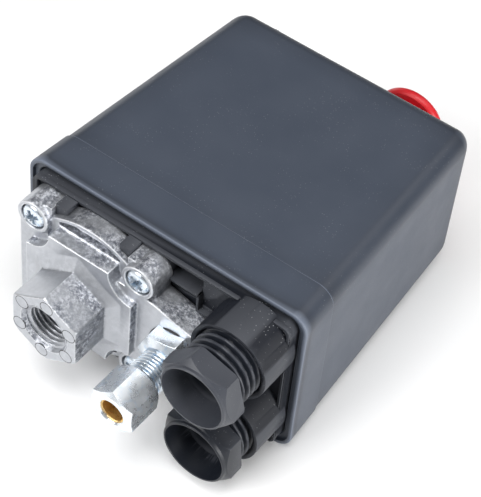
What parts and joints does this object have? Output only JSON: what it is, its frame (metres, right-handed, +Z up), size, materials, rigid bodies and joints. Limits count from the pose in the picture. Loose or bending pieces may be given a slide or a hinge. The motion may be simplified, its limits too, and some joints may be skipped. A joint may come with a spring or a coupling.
{
  "type": "air compressor pressure switch",
  "caption": "Pressure switch for an air compressor: cast port flange, unloader valve, cable glands, drafted cover and push knob over a spring-loaded plate, rocker and contacts",
  "frame": {"origin": "centre of the pressure port's mouth", "axes": "+Y from the port into the switch towards the knob, +X towards the cable glands, +Z up as the switch lies on its broad side"},
  "size_m": [0.085, 0.133, 0.0502],
  "materials": {
    "cover_plastic": "satin moulded plastic with a fine grain",
    "base_plastic": "black glass-filled plastic",
    "gland_plastic": "black moulded nylon",
    "seal_rubber": "plain black rubber",
    "cast_alloy": "die-cast, partly sandy, machined at the port",
    "zinc_steel": "bright zinc plating",
    "sheet_steel": "dull zinc-plated pressed sheet",
    "spring_steel": "drawn spring wire",
    "brass": "plain turned brass",
    "contact_silver": "silver contact face",
    "red_plastic": "smooth red plastic",
    "white_plastic": "natural nylon"
  },
  "bodies": {
    "housing": {"cover": "cover_plastic", "cover_screws": "zinc_steel", "cover_posts": "sheet_steel", "base": "base_plastic", "gland_seal_upper": "seal_rubber", "gland_seal_lower": "seal_rubber", "port_casting": "cast_alloy", "flange_screws": "zinc_steel", "diaphragm": "seal_rubber", "spring_seat": "sheet_steel", "lock_nut": "zinc_steel", "frame": "sheet_steel", "earth_screws": "zinc_steel", "rocker_pin": "zinc_steel", "trip_pin": "zinc_steel", "valve_body": "zinc_steel", "olive": "brass", "fixed_contacts": "contact_silver", "terminals": "brass", "terminal_screws": "zinc_steel", "terminal_block": "base_plastic", "block_screws": "zinc_steel", "range_spring": "spring_steel", "return_spring": "spring_steel", "valve_spring": "spring_steel"},
    "knob": {"knob": "red_plastic", "knob_stem": "white_plastic", "stem_clip": "spring_steel"},
    "gland_nut_upper": {"gland_nut_upper": "gland_plastic"},
    "gland_nut_lower": {"gland_nut_lower": "gland_plastic"},
    "tube_nut": {"tube_nut": "zinc_steel"},
    "plate": {"pressure_plate": "white_plastic"},
    "range_screw": {"range_screw": "zinc_steel"},
    "rocker": {"rocker": "sheet_steel", "contact_carrier": "white_plastic", "contact_bridges": "brass", "moving_contacts": "contact_silver"},
    "trip_lever": {"trip_lever": "white_plastic"},
    "valve_pin": {"valve_pin": "brass", "valve_seal": "seal_rubber"}
  },
  "joints": [
    {"name": "plate_lift", "type": "slide", "parent": "housing", "child": "plate", "axis": [0, 1, 0], "range_m": [0, 0.0015], "stiffness_N_per_m": 400, "springref_m": -0.001, "deforming": ["range_spring"]},
    {"name": "rocker_tilt", "type": "hinge", "parent": "housing", "child": "rocker", "pos_m": [0.0185, 0.033, 0], "axis": [0, 0, -1], "range_deg": [0, 9.9], "deforming": ["return_spring"]},
    {"name": "valve_lift", "type": "slide", "parent": "housing", "child": "valve_pin", "axis": [0, -1, 0], "range_m": [0, 0.0018], "deforming": ["valve_spring"]},
    {"name": "knob_push", "type": "slide", "parent": "housing", "child": "knob", "axis": [0, -1, 0], "range_m": [0, 0.003]},
    {"name": "trip_tilt", "type": "hinge", "parent": "housing", "child": "trip_lever", "pos_m": [0.0185, 0.052, 0], "axis": [0, 0, -1], "range_deg": [0, 17.6]},
    {"name": "upper_gland_turn", "type": "hinge", "parent": "housing", "child": "gland_nut_upper", "pos_m": [0.0458, 0, 0.0123], "axis": [0, 1, 0], "continuous": true},
    {"name": "lower_gland_turn", "type": "hinge", "parent": "housing", "child": "gland_nut_lower", "pos_m": [0.0458, 0, -0.0123], "axis": [0, 1, 0], "continuous": true},
    {"name": "tube_nut_turn", "type": "hinge", "parent": "housing", "child": "tube_nut", "pos_m": [0.0285, 0, 0], "axis": [0, 1, 0], "continuous": true},
    {"name": "range_screw_turn", "type": "hinge", "parent": "housing", "child": "range_screw", "pos_m": [0, 0.07, 0], "axis": [0, 1, 0], "continuous": true}
  ],
  "couplings": [
    {"joint": "rocker_tilt", "follows": "plate_lift", "rad_per_m": 114.4},
    {"joint": "valve_lift", "follows": "plate_lift", "ratio": 1.154},
    {"joint": "trip_tilt", "follows": "knob_push", "rad_per_m": 101.6}
  ]
}
